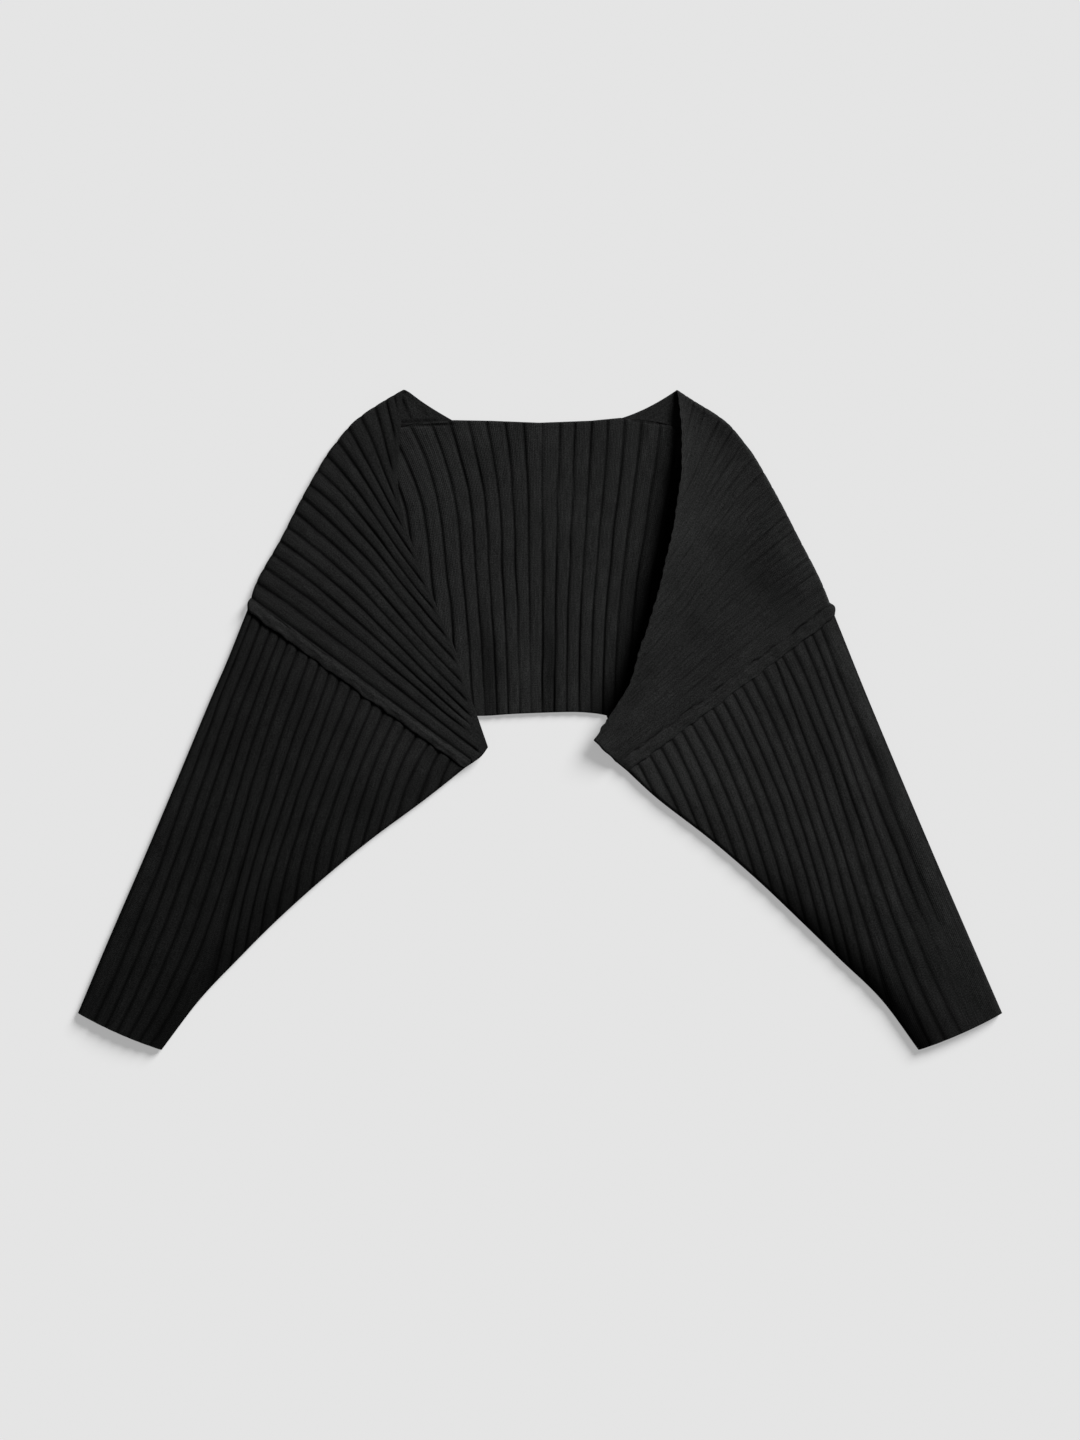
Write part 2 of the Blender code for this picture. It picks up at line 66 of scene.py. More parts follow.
# the fronts
FRONT_RIBS = 17
ROLL_WIDTH = {"left": 11.5, "right": 13.0}
ROLL_HEIGHT = {"left": 1.35, "right": 1.1}
ROLL_KNOB = {"left": 3.0, "right": 5.0}  # how far the roll's outer end sticks out
ROLL_LINE = {"left": 0.6, "right": 1.0}  # how deep the line of stitches above the roll is
FOLD_INSET = 3.6  # how far inside the outline the shoulder fold starts to turn
FOLD_RUN = 10  # how much cloth lies in the shoulder fold
STRIP_WIDTH = 27.0  # the part wrapped over the shoulder, at its lower end
# How wide the plain band along the free edge is, at some ribs.
PLAIN_EDGE = [(0, 7), (3, 6.5), (6, 4.5), (11, 4.5), (13, 8), (14, 13), (15, 20), (16, 6), (17, 3)]
FLAP_LIFT = {"left": 1.2, "right": 13.5}
FACE_RAISE = {"left": 0.0, "right": RIB * 0.3}  # the flatter knit is thicker in its grooves
EDGE_LIP = {"left": 0.4, "right": 1.2}  # how far the free edge bends down
PAINTED_EDGE_SHADE = {"left": 0.6, "right": 0.2}  # painted shade where the free edge bends down: the share of its lightness lost there
LIP_WIDTH = 1.6
NECK_DIP = {"left": 0.6, "right": 2.6}
PEAK_ROUND = {"left": 1.6, "right": 0.0}
ROLL_COLUMNS = 24
FLAP_ROWS, FOLD_ROWS, STRIP_ROWS = 118, 9, 34
FREE_EDGE_ROWS = [0, 0.5, 1.1, 2.0, 3.2]

# the sleeves
SLEEVE_RIBS = {"left": 21, "right": 20}
CORNER_RIB = {"left": 6.5, "right": 5.5}  # the rib that lies over the cuff's inner corner
UNDER_LAYER = 2.0  # the lower layer's thickness
SLEEVE_HOLLOW = 1.0
SLEEVE_LOFT = 2.6
LOFT_REACH = 20.0  # how far in from its edges a sleeve rises
EDGE_ROUND = 3.6
EDGE_MIDDLE = 2.9  # the height at which both layers meet in the side folds
CUFF_BOW = 2.0
LEAST_HOLLOW = 0.4
PAINTED_UNDERARM_SHADE = {"left": (0.38, 24), "right": (0.9, 18)}  # painted shade along the underarm edge: the share lost, and how far in
PAINTED_UNDERARM_LIGHT = 0.22  # painted light near the upper end of the underarm
SLEEVE_ROWS = 128
SEAM_ROWS = (0, 0.002, 0.005)  # shares of the length from the armhole seam
CUFF_BAND = 4.0
CUFF_ROWS = (2.6, 1.5, 0.7, 0.2, 0)  # from the cuff's edge, within its band

# the back
BACK_MIDDLE = 3.2
BACK_FIRST_RIB, BACK_LAST_RIB = -19, 18
BACK_PITCH, BACK_SIDE_PITCH, PITCH_CHANGE = 11.4, 13.5, 6
SEEN_RIBS = 11  # the fronts hide what lies further out
BACK_LIP = 0.4
NECK_BAND = 12  # how far down the seam lines inside the neck peaks reach
PAINTED_FLAP_SHADOW, PAINTED_FLAP_SHADOW_REACH = 0.94, 19  # painted shadow beside the raised free edge, and how far it reaches
BACK_ROWS = 104
NECK_ROWS = [0, 0.5, 1.1, 1.8, 2.6, 3.4, 4.2, 4.8, 5.3, 5.8, 6.4, 7.4, 9]
HEM_ROWS = [4, 2.4, 1.2, 0.5, 0]

# painted shade of the grooves: the wool's lightness in a groove and what a crown adds, as shares of
# its full lightness
PAINTED_GROOVE_LIGHT, PAINTED_CROWN_LIGHT = 0.18, 0.31

# the studio
PHOTO_TALL, PIXEL = 1440, 0.92  # the picture's height, and how many millimetres a pixel shows
FLOOR_SIZE, FLOOR_GREY, FLOOR_GLOW = 6, 0.42, 0.36  # in metres, and shares of white
KEY_POWER, KEY_SPREAD, KEY_TILT, KEY_TURN = 6.2, 28, 62, 48  # angles in degrees
FILL_POWER = 0.08

Row = namedtuple("Row", "y left right")
SHOULDER_FOLD = [
    Row(304, 125, 127), Row(293, 144, 144), Row(282, 161, 162), Row(271, 174, 176),
    Row(254, 188, 190), Row(240, 198, 200), Row(203, 219, 221), Row(166, 238, 240),
    Row(129, 259, 259),
]
FREE_EDGE = [
    Row(304, 125, 127), Row(264, 127, 131), Row(225, 130, 130), Row(185, 124, 124),
    Row(148, 111, 116), Row(105, 94, 105), Row(65, 77, 92), Row(33, 67, 82), Row(8, 58, 67),
]
SLEEVE_OUTER = [
    Row(56, 286, 288), Row(19, 302, 303), Row(-55, 333, 334), Row(-128, 364, 365),
    Row(-202, 396, 397), Row(-269, 424, 426),
]
SLEEVE_UNDER = [
    Row(-303, 347, 349), Row(-257, 312, 315), Row(-220, 277, 277), Row(-184, 241, 240),
    Row(-147, 200, 201), Row(-110, 155, 158), Row(-73, 105, 110),
]
Point = namedtuple("Point", "side out y")
FREE_FOOT = [
    Point("left", 46.7, -24.7), Point("left", 53.8, -33.9), Point("left", 68, -43.7),
    Point("right", 50.2, -18.5), Point("right", 64.9, -33), Point("right", 81, -46.5),
]
ARMHOLE_TOP = {"left": Point("left", 268, 101.7), "right": Point("right", 272, 96.1)}
UNDERARM = {"left": FREE_FOOT[2], "right": FREE_FOOT[5]}
SHOULDER_SEAM = [
    Point("left", 79, 275.6), Point("left", 104, 273.3), Point("left", 126, 269.5),
    Point("left", 142, 262), Point("left", 155, 251.5), Point("left", 175, 226),
    Point("left", 195, 190), Point("left", 215, 153), Point("left", 235, 116),
    Point("right", 75, 277.7), Point("right", 100, 274.6), Point("right", 123, 270.2),
    Point("right", 141, 262.3), Point("right", 155, 251.5), Point("right", 176, 226),
    Point("right", 196, 190), Point("right", 216, 153), Point("right", 236, 116),
]
NECKLINE = [(-45, 275.5), (0, 273.7), (47, 275.5)]
HEM = [(-60, 4), (-45, 4.3), (-20, 6), (28, 7.6), (50, 6.5), (62, 4.5)]

# Painted shade lines along the grooves and seams inside the neck peaks, where the cloth also dips a
# little, with their half width.
NeckLine = namedtuple("NeckLine", "side start end width dark")
NECK_LINES = [
    NeckLine("left", (124.5, 297), (117, 279), 1.1, 0.8),
    NeckLine("left", (106.5, 288), (102.5, 282), 0.9, 0.5),
    NeckLine("left", (126, 275.5), (95, 277.4), 1.7, 0.6),
    NeckLine("left", (126, 270.9), (80, 271.9), 1.3, 1.1),
    NeckLine("right", (86, 275.5), (119, 271.9), 1.2, 0.95),
    NeckLine("right", (124, 292), (121, 276), 1.0, 0.4),
]

Fan = namedtuple("Fan", "y left right")
BACK_FAN = [
    Fan(-40, 0.90, 0.95), Fan(10, 0.93, 0.965), Fan(92, 1.02, 1.01), Fan(155, 1.10, 1.11),
    Fan(203, 1.18, 1.20), Fan(240, 1.32, 1.265), Fan(271, 1.49, 1.31), Fan(310, 1.72, 1.36),
]
# Painted light and shade on each piece, at some heights from the neck down: how light it is drawn.
PIECE_PAINTED_LIGHT = {
    "back_knit": [(280, 1.18), (0, 1.18)],
    "front_left_knit": [(300, 1.0), (-40, 1.05)],
    "front_right_knit": [(300, 1.2), (-40, 1.25)],
    "sleeve_left_knit": [(0, 0.79), (-120, 0.68), (-220, 0.54), (-300, 0.47)],
    "sleeve_right_knit": [(-60, 1.33), (-140, 1.17), (-220, 0.87), (-300, 0.72)],
}
# Where the grooves of a sleeve start, as a share of the armhole seam from its outer end, where
# they end, up the underarm edge from the cuff or back along the cuff, and how steep they are.
Line = namedtuple("Line", "rib seam end start_slope end_slope")
SLEEVE_FAN = {
    "left": [
        Line(0, 0, -84, 67, 67), Line(1, 0.027, -67.5, 66, 64), Line(3, 0.112, -44, 66, 63),
        Line(5, 0.191, -22, 66, 58), Line(6, 0.238, -11.5, 65, 56), Line(6.5, 0.263, 0, 66, 62),
        Line(7, 0.287, 74, 68, 76), Line(8, 0.333, 99, 70, 81), Line(10, 0.429, 137, 69, 81),
        Line(12, 0.529, 180, 68, 82), Line(14, 0.629, 222, 65, 79), Line(16, 0.727, 262, 60, 74),
        Line(18, 0.837, 301, 56, 75), Line(20, 0.941, 351, 55, 72), Line(21, 1, 363, 38, 38),
    ],
    "right": [
        Line(0, 0, -84, 67, 67), Line(1, 0.071, -67, 67, 64), Line(3, 0.156, -41, 66, 63),
        Line(4, 0.206, -25, 64, 64), Line(5, 0.258, -11, 61, 63), Line(5.5, 0.275, 0, 64, 66),
        Line(6, 0.292, 47, 67, 75), Line(7, 0.352, 77, 63, 78), Line(8, 0.403, 97, 62, 78),
        Line(10, 0.494, 133, 61, 78), Line(12, 0.593, 175, 58, 75), Line(14, 0.694, 219, 58, 74),
        Line(16, 0.789, 265, 59, 70), Line(18, 0.894, 308, 60, 67), Line(19, 0.947, 336, 62, 63),
        Line(20, 1, 357, 42, 42),
    ],
}
Rib = namedtuple("Rib", "groove start end start_slope end_slope")
FRONT_FAN = [
    Rib(0, 0, 291, 88, 88), Rib(1, 9.4, 270, 84, 84), Rib(2, 18.5, 244, 78, 79),
    Rib(3, 30.5, 217, 73, 66), Rib(5, 62.5, 166, 57, 56), Rib(7, 95, 119, 43, 46),
    Rib(9, 125.5, 72, 37, 44), Rib(11, 155, 30, 35, 43), Rib(13, 184.5, -4, 33, 41),
    Rib(15, 213.5, -24, 32, 36), Rib(16, 228.5, -32, 33, 37), Rib(17, 243, -38.5, 36, 36),
]

# Soft folds: the middle, the heading of the fold from the x axis, half its length and width,
# and how far it rises. A hollow has a negative rise.
Fold = namedtuple("Fold", "piece out y heading reach width rise")
FOLDS = [
    Fold("sleeve_right", 306, -40, -63, 42, 9, -2.4),
    Fold("sleeve_right", 289, -62, -66, 60, 10, 1.8),
    Fold("sleeve_right", 332, -150, -72, 70, 8, -1.2),
    Fold("sleeve_right", 322, -240, -52, 60, 15, 2.0),
    Fold("sleeve_left", 296, -40, -66, 30, 12, -1.2),
    Fold("sleeve_left", 140, -52, -38, 40, 18, 1.4),
    Fold("sleeve_left", 250, -165, -42, 60, 14, 1.2),
    Fold("front_right", 230, 150, -62, 60, 19, 1.5),
    Fold("front_right", 150, 120, -50, 60, 26, 1.2),
    Fold("front_left", 190, 165, -45, 60, 22, 1.2),
]
# Painted shade: soft darker places where folds and hollows fall into shade, with how much of the
# lightness is lost there; a negative share paints light.
PAINTED_SHADES = [
    Fold("front_right", 205, 130, -62, 62, 20, 0.26),
    Fold("front_right", 170, 262, -48, 36, 16, 0.22),
    Fold("sleeve_right", 318, -85, -66, 75, 8, 0.3),
    Fold("sleeve_left", 300, -55, -66, 60, 14, 0.08),
    Fold("back", -25, 225, -80, 45, 14, 0.08),
    Fold("back", -45, 40, -85, 62, 8, 0.5),
    Fold("back", 11, 40, -90, 62, 6, 0.5),
    Fold("back", -13, 35, -90, 62, 9, -0.12),
]
# Where the grooves of the back lie nearly flat.
FLAT_PLACES = [Fold("back", -12, 35, -88, 62, 11, 1)]


def smooth_line(points, steps=16):
    """A smooth curve through the points, as many short straight runs."""
    points = np.array(points, float)
    more = np.vstack([2 * points[0] - points[1], points, 2 * points[-1] - points[-2]])
    share = np.linspace(0, 1, steps, endpoint=False)[:, None]
    runs = [
        0.5 * (2 * b + (c - a) * share + (2 * a - 5 * b + 4 * c - d) * share**2
               + (3 * b - a - 3 * c + d) * share**3)
        for a, b, c, d in zip(more[:-3], more[1:-2], more[2:-1], more[3:])
    ]
    return np.vstack(runs + [points[-1:]])


def lengths(line):
    return np.concatenate([[0], np.cumsum(np.linalg.norm(np.diff(line, axis=0), axis=1))])


def along(line, share):
    """Points at a share of the line's length."""
    run = lengths(line)
    at = np.clip(np.asarray(share, float), 0, 1) * run[-1]
    return np.stack([np.interp(at, run, line[:, 0]), np.interp(at, run, line[:, 1])], -1)


def distance_to(line, points):
    """Shortest way from each point to the runs of a line."""
    best = np.full(points.shape[:-1], np.inf)
    for a, b in zip(line[:-1], line[1:]):
        run = b - a
        share = np.clip(((points - a) @ run) / (run @ run), 0, 1)
        gap = points - a - share[..., None] * run
        best = np.minimum(best, (gap**2).sum(-1))
    return np.sqrt(best)


def unit(vector):
    return vector / np.linalg.norm(vector, axis=-1, keepdims=True)


def ease(value, low=0.0, high=1.0):
    """0 below low and 1 above high, with a soft start and end."""
    share = np.clip((value - low) / (high - low), 0, 1)
    return share * share * (3 - 2 * share)


def uneven(across, down, seed):
    """Soft random values between -1 and 1, one cell for each unit across and down. Each use has
    a seed of its own, so that no two wander alike."""
    cells = 96
    table = np.random.default_rng(seed).uniform(-1, 1, (cells + 1, cells + 1))
    across, down = np.broadcast_arrays(across, down)
    column, line = np.floor(across).astype(int), np.floor(down).astype(int)
    right, below = ease(across - column), ease(down - line)
    column, line = column % cells, line % cells
    near = table[line, column] * (1 - right) + table[line, column + 1] * right
    far = table[line + 1, column] * (1 - right) + table[line + 1, column + 1] * right
    return near * (1 - below) + far * below


def soft_bend(start, leave, arrive, end, s):
    """The point at share s of a curve that leaves its start and meets its end in given ways."""
    return (start * (2 * s**3 - 3 * s**2 + 1) + leave * (s**3 - 2 * s**2 + s)
            + end * (3 * s**2 - 2 * s**3) + arrive * (s**3 - s**2))


def soft_patches(patches, piece, flat):
    """The sum of a piece's soft folds, or of its soft painted shades, at each flat place."""
    height = np.zeros(flat.shape[:-1])
    for fold in patches:
        if fold.piece == piece:
            way = np.array([np.cos(np.radians(fold.heading)), np.sin(np.radians(fold.heading))])
            off = flat - np.array([fold.out, fold.y])
            lengthwise = off @ way / fold.reach
            crosswise = off @ np.array([-way[1], way[0]]) / fold.width
            height += fold.rise * np.exp(-lengthwise**2 - crosswise**2)
    return height


def rib_rise(ribs, groove, dome):
    """A rib's height from 0 in the groove to 1 on the crown. groove is its half width as a share
    of the pitch, and dome says how round the crown is."""
    off = np.abs(ribs - np.round(ribs))
    flat_top = 1 - np.exp(-(off / groove) ** 2)
    return flat_top * (1 - dome) + np.sin(np.pi * off) * dome


def rib_places(first, last, steps):
    """Columns over the ribs, closer together beside the grooves."""
    even = np.arange(steps) / steps
    within = even - 0.45 * np.sin(2 * np.pi * even) / (2 * np.pi)
    return np.concatenate([(np.arange(first, last)[:, None] + within).ravel(), [last]])


def armhole(side, towards_body):
    """Both ends of the straight armhole seam, on its body side or its sleeve side."""
    outer, under = [np.array([end[side].out, end[side].y]) for end in (ARMHOLE_TOP, UNDERARM)]
    run = unit(under - outer)
    towards = np.array([run[1], -run[0]])
    if towards[1] < 0:
        towards = -towards
    shift = towards * SEAM_GAP / 2 * (1 if towards_body else -1)
    return outer + shift, under + shift


def knit_sheet(name, places, pattern, crown, sign, finish, painted_shading=1.0):
    """A walled sheet of cloth. places holds a millimetre place for each column and row, pattern
    where it is in the knit, across and along, crown how high it stands on its rib, and the last
    argument the share of the painted lightness that painted shade and light leave there."""
    columns, rows = places.shape[:2]
    mesh = bmesh.new()
    bmesh.ops.create_grid(mesh, x_segments=columns - 1, y_segments=rows - 1, size=0.5)
    knit = mesh.loops.layers.uv.new("knit")
    # The crown also sets painted shade in the colour: the grooves are drawn darker.
    height = mesh.verts.layers.float.new("crown")
    # This layer carries painted light and shade: how light each place of the piece is drawn.
    painted_light_layer = mesh.verts.layers.float.new("painted_light")
    painted_light = painted_shading * np.interp(-places[..., 1], *np.array(PIECE_PAINTED_LIGHT[name]).T * [[-1], [1]])
    # Painted shade of the soft folds and hollows.
    painted_light = painted_light * (1 - soft_patches(PAINTED_SHADES, name.removesuffix("_knit"), places[..., :2]))
    spots = (places * [sign, 1, 1] - MIDDLE) * MM
    where = {}
    for vert in mesh.verts:
        column = round((vert.co.x + 0.5) * (columns - 1))
        line = round((vert.co.y + 0.5) * (rows - 1))
        where[vert] = pattern[column, line]
        vert.co = spots[column, line]
        vert[height] = crown[column, line]
        vert[painted_light_layer] = painted_light[column, line]
    for face in mesh.faces:
        face.smooth = True
        for loop in face.loops:
            loop[knit].uv = where[loop.vert]
    bmesh.ops.remove_doubles(mesh, verts=mesh.verts, dist=0.01 * MM)
    bmesh.ops.recalc_face_normals(mesh, faces=mesh.faces)
    highest = max(mesh.faces, key=lambda face: face.calc_center_median().z)
    if highest.normal.z < 0:
        bmesh.ops.reverse_faces(mesh, faces=mesh.faces)
    data = bpy.data.meshes.new(name)
    mesh.to_mesh(data)
    mesh.free()
    data.materials.append(finish)
    sheet = bpy.data.objects.new(name, data)
    bpy.context.scene.collection.objects.link(sheet)
    solidify = sheet.modifiers.new("wall", "SOLIDIFY")
    solidify.thickness = WALL * MM
    solidify.offset = -1
    return sheet


def fan(ribs, name):
    """A column of the front's table, at any place across its ribs."""
    table = smooth_line([(rib.groove, getattr(rib, name)) for rib in FRONT_FAN])
    return np.interp(ribs, table[:, 0], table[:, 1])


def shoulder_seam(side):
    """Where the wrapped part of a front meets the back, from the neck to the armhole."""
    outer, under = armhole(side, towards_body=True)
    seam = [(spot.out, spot.y) for spot in SHOULDER_SEAM if spot.side == side]
    return smooth_line(seam + [tuple(outer + STRIP_WIDTH * unit(under - outer))])


def front_lines(side):
    """Functions that place a point of the flap or the strip, by rib and distance from the fold."""
    outer, under = armhole(side, towards_body=True)
    fold = smooth_line([(getattr(row, side), row.y) for row in SHOULDER_FOLD] + [tuple(outer)])
    foot = [(spot.out, spot.y) for spot in FREE_FOOT if spot.side == side]
    free = smooth_line([(getattr(row, side), row.y) for row in FREE_EDGE] + foot[:1])
    free = np.vstack([free[:-1], smooth_line(foot)])[::-1]
    seam = shoulder_seam(side)
    to_roll = 1 - ROLL_WIDTH[side] / lengths(fold)[-1]

    def fold_at(ribs):
        share = np.where(ribs < FRONT_RIBS, fan(ribs, "start") / FRONT_FAN[-1].start * to_roll,
                         to_roll + (1 - to_roll) * (ribs - FRONT_RIBS))
        return along(fold, share)

    def free_at(ribs):
        end_y = fan(ribs, "end")
        end = np.stack([np.interp(end_y, free[:, 1], free[:, 0]), end_y], -1)
        past = np.clip(ribs - FRONT_RIBS, 0, 1)[..., None]
        return end * (1 - past) + under * past

    def flap(ribs, distance):
        start, end = fold_at(ribs), free_at(ribs)
        reach = np.linalg.norm(end - start, axis=-1)
        past = np.clip(ribs - FRONT_RIBS, 0, 1)[..., None]
        slopes = [np.radians(fan(ribs, name)) for name in ("start_slope", "end_slope")]
        leave, arrive = [np.stack([-np.cos(s), -np.sin(s)], -1) for s in slopes]
        run = unit(under - outer)
        leave, arrive = [unit(way * (1 - past) + run * past) for way in (leave, arrive)]
        share, reach = (distance / reach)[..., None], reach[..., None]
        return soft_bend(start, leave * reach, arrive * reach, end, share)

    def flap_reach(ribs):
        return np.linalg.norm(free_at(ribs) - fold_at(ribs), axis=-1)

    def strip(ribs, distance):
        start, end = fold_at(ribs), along(seam, ribs / (FRONT_RIBS + 1))
        share = distance / np.linalg.norm(end - start, axis=-1)
        hollow = NECK_DIP[side] * np.exp(-ribs / 2) * 4 * share * (1 - share)
        hollow = hollow - PEAK_ROUND[side] * np.exp(-ribs / 2) * 9 * share * np.exp(1 - 9 * share)
        spot = start + (end - start) * share[..., None]
        return spot - np.stack([0 * hollow, hollow], -1)

    def strip_reach(ribs):
        return np.linalg.norm(along(seam, ribs / (FRONT_RIBS + 1)) - fold_at(ribs), axis=-1)

    return flap, flap_reach, strip, strip_reach, free


def dark_lines(side, flat):
    """1 on plain cloth, and less along the grooves and seam lines inside a neck peak, drawn as
    painted shade.
    """
    level = np.ones(flat.shape[:-1])
    for line in NECK_LINES:
        if line.side == side:
            ends = np.array([line.start, line.end], float)
            beads = 0.85 + 0.3 * uneven(flat[..., 0] / 2.2, 1, 51)
            level -= line.dark * beads * np.exp(-(distance_to(ends, flat) / line.width) ** 2)
    return np.clip(level, 0, 1)


def lift_shape(across, share):
    """How a front's free edge rises off the back: most at mid length, none at its two ends."""
    edge = np.clip((share - 0.1) / 0.9, 0, 1)
    return edge**1.3 * np.sin(np.pi * np.clip(across, 0, 1) ** 0.7) ** 0.6


def roll_height(side, across, down):
    """The rolled seam allowance: a broad, low, puckered cord below a line of stitches."""
    broad = 0.35 * uneven(across * 2.2 + 3, down / 7, 11)
    fine = 0.25 * uneven(across * 4, down / 3.4, 12)
    return ROLL_HEIGHT[side] * ease(across, 0, 0.5) * (1 + broad + fine)


def roll_line(side, across, down):
    """The wavy, broken line of stitches above the roll, 1 in its middle."""
    off = across - 0.13 - 0.09 * uneven(2, down / 13, 13) - 0.05 * uneven(4, down / 4, 17)
    broken = np.clip(0.7 + 0.7 * uneven(5, down / 6, 14), 0, 1.2)
    return ROLL_LINE[side] * broken * np.exp(-(off * ROLL_WIDTH[side] / 0.8) ** 2)


def front_profile(side, ribs, down, plain=0.0):
    """How high a front's cloth stands on its ribs, with 1 on the crowns and on the roll. The right
    front shows faint ribs, and fainter lines half way between them."""
    knit = KNIT["front_" + side]
    line = ribs + 0.05 * uneven(ribs * 0.8, down / 30, 21) * ease(FRONT_RIBS - ribs, 0, 1)
    rise = rib_rise(line, knit.groove, knit.dome)
    if side == "left":
        strong = np.clip(0.85 + 0.3 * uneven(ribs * 0.9, down / 40, 24), 0, 1)
    else:
        rise = rise * 0.7 + 0.3 * rib_rise(line + 0.5, knit.groove * 0.7, 0)
        strong = 0.45 + 0.45 * ease(60 - down, 0, 50)
        strong = strong * (1 + 0.6 * uneven(ribs * 1.3, down / 35, 22))
        strong = strong * ease(FRONT_RIBS - ribs, 0.3, 0.7)
    rise = 1 - (1 - rise) * strong
    return np.where(ribs > FRONT_RIBS, 1, 1 - (1 - rise) * (1 - plain))


def front(side, finish):
    """One sheet, from the free edge over the flap, round the shoulder fold and on to the seam."""
    flap, flap_reach, strip, strip_reach, free = front_lines(side)
    knit = KNIT["front_" + side]
    roll_columns = FRONT_RIBS + np.linspace(0, 1, ROLL_COLUMNS + 1)[1:]
    ribs = np.concatenate([rib_places(0, FRONT_RIBS, 10), roll_columns])
    reach, hidden = flap_reach(ribs), strip_reach(ribs)
    on_roll, across = ribs > FRONT_RIBS, np.clip(ribs - FRONT_RIBS, 0, 1)
    margin = np.interp(ribs, *np.array(PLAIN_EDGE).T)
    outer, under = armhole(side, towards_body=True)
    over_sleeve = unit(under - outer)[::-1] * [1, -1]
    over_sleeve = over_sleeve if over_sleeve[1] < 0 else -over_sleeve
    places, pattern, crown = [], [], []

    def add_row(spot, height, along_rib, rise):
        knob = np.sin(np.pi * across) * np.exp(-(along_rib / 6) ** 2)
        spot = spot + unit(outer - under) * (ROLL_KNOB[side] * knob)[:, None]
        places.append(np.concatenate([spot, height[:, None]], -1))
        pattern.append(np.stack([ribs, along_rib / 10], -1))
        crown.append(rise)

    distances = [reach - value for value in FREE_EDGE_ROWS]
    for step in range(1, FLAP_ROWS + 1):
        share = step / FLAP_ROWS
        distances.append((reach - FREE_EDGE_ROWS[-1]) * (1 - share) + FOLD_INSET * share)
    for distance in distances:
        spot = flap(ribs, distance)
        from_edge = reach - distance
        plain = 1 - ease(distance_to(free, spot) / margin, 0.45, 1.25)
        rise = front_profile(side, ribs, distance, plain)
        lift = FLAP_LIFT[side] * lift_shape(np.minimum(ribs / FRONT_RIBS, 1), distance / reach)
        soft = np.clip(distance / 20, 0, 1) * np.clip((FRONT_RIBS + 1 - ribs) / 3, 0, 1)
        lift = np.maximum(lift + soft_patches(FOLDS, "front_" + side, spot) * soft, 0)
        body = 0.35 * uneven(ribs * 0.7, distance / 28, 23) * soft
        lip = EDGE_LIP[side] * (1 - np.clip(from_edge / LIP_WIDTH, 0, 1)) ** 2
        line = roll_line(side, across, distance) * on_roll
        roll = knit.depth + FACE_RAISE[side] + roll_height(side, across, distance) - line
        roll = roll * ease(1 - across, -0.5, 0.2) * np.clip(from_edge / 6, 0.35, 1)
        face = np.where(on_roll, roll, knit.depth * rise + FACE_RAISE[side])
        # Painted shade: the colour is drawn darker along the line above the roll and at the free
        # edge.
        rise = (rise - line) * (1 - PAINTED_EDGE_SHADE[side] * np.exp(-(from_edge / 0.9) ** 2))
        if side == "right":  # its free edge is uneven
            scallop = 0.5 * np.cos(2 * np.pi * spot[:, 1] / 11) + 0.7 * uneven(2, spot[:, 1] / 7, 18)
            scallop = scallop * np.exp(-from_edge / 3) * (1 - on_roll)
            spot = spot + np.stack([scallop, 0 * ribs], -1)
        wave = 1.1 + 0.8 * uneven(2, distance / 9, 15) + 0.4 * uneven(4, distance / 4, 16)
        spot = spot + over_sleeve * (wave * ease(across) * ease(from_edge, 0, 6))[:, None]
        add_row(spot, FLAP_UNDER + lift + body + WALL + face - lip, distance, rise)
    top, middle = places[-1][:, 2], BACK_TOP - 0.3
    for step in range(1, FOLD_ROWS + 1):
        angle = np.pi * step / FOLD_ROWS
        rise = front_profile(side, ribs, -np.full_like(ribs, step))
        inset = FOLD_INSET * (1 - np.sin(angle)) + 0.5 * (1 - rise) * np.sin(angle)
        low = RIB * (1 - rise) * HIDDEN_RELIEF
        half = top - middle if np.cos(angle) > 0 else middle - low
        spot = flap(ribs, inset) if angle <= np.pi / 2 else strip(ribs, inset)
        along_rib = -np.full_like(ribs, FOLD_RUN * angle / np.pi)
        add_row(spot, middle + half * np.cos(angle), along_rib, rise)
    in_peak = 1 - ease(ribs, 3, 6)
    for step in range(1, STRIP_ROWS + 1):
        distance = FOLD_INSET + (hidden - FOLD_INSET) * step / STRIP_ROWS
        spot = strip(ribs, distance)
        # Inside the neck peak, painted shade lines darken the colour and dip the cloth.
        rise = front_profile(side, ribs, -distance) * (1 - in_peak) + dark_lines(side, spot) * in_peak
        add_row(spot, RIB * (1 - rise) * HIDDEN_RELIEF, -FOLD_RUN - distance, rise)
    stack = [np.stack(values, 1) for values in (places, pattern, crown)]
    return knit_sheet("front_" + side + "_knit", *stack, SIDES[side], finish)


def back_edges():
    """The back's upper edge and its lower edge, each from left to right."""
    top, bottom = list(NECKLINE), [tuple(spot) for spot in smooth_line(HEM)]
    for side, sign in SIDES.items():
        bottom += [(sign * x, y) for x, y in armhole(side, towards_body=True)]
        seam = shoulder_seam(side)
        run = unit(np.gradient(seam, axis=0))
        seam = seam - SEAM_LAP * np.stack([run[:, 1], -run[:, 0]], -1)
        top += [(sign * x, y) for x, y in seam]
    return np.array(sorted(top)), np.array(sorted(bottom))


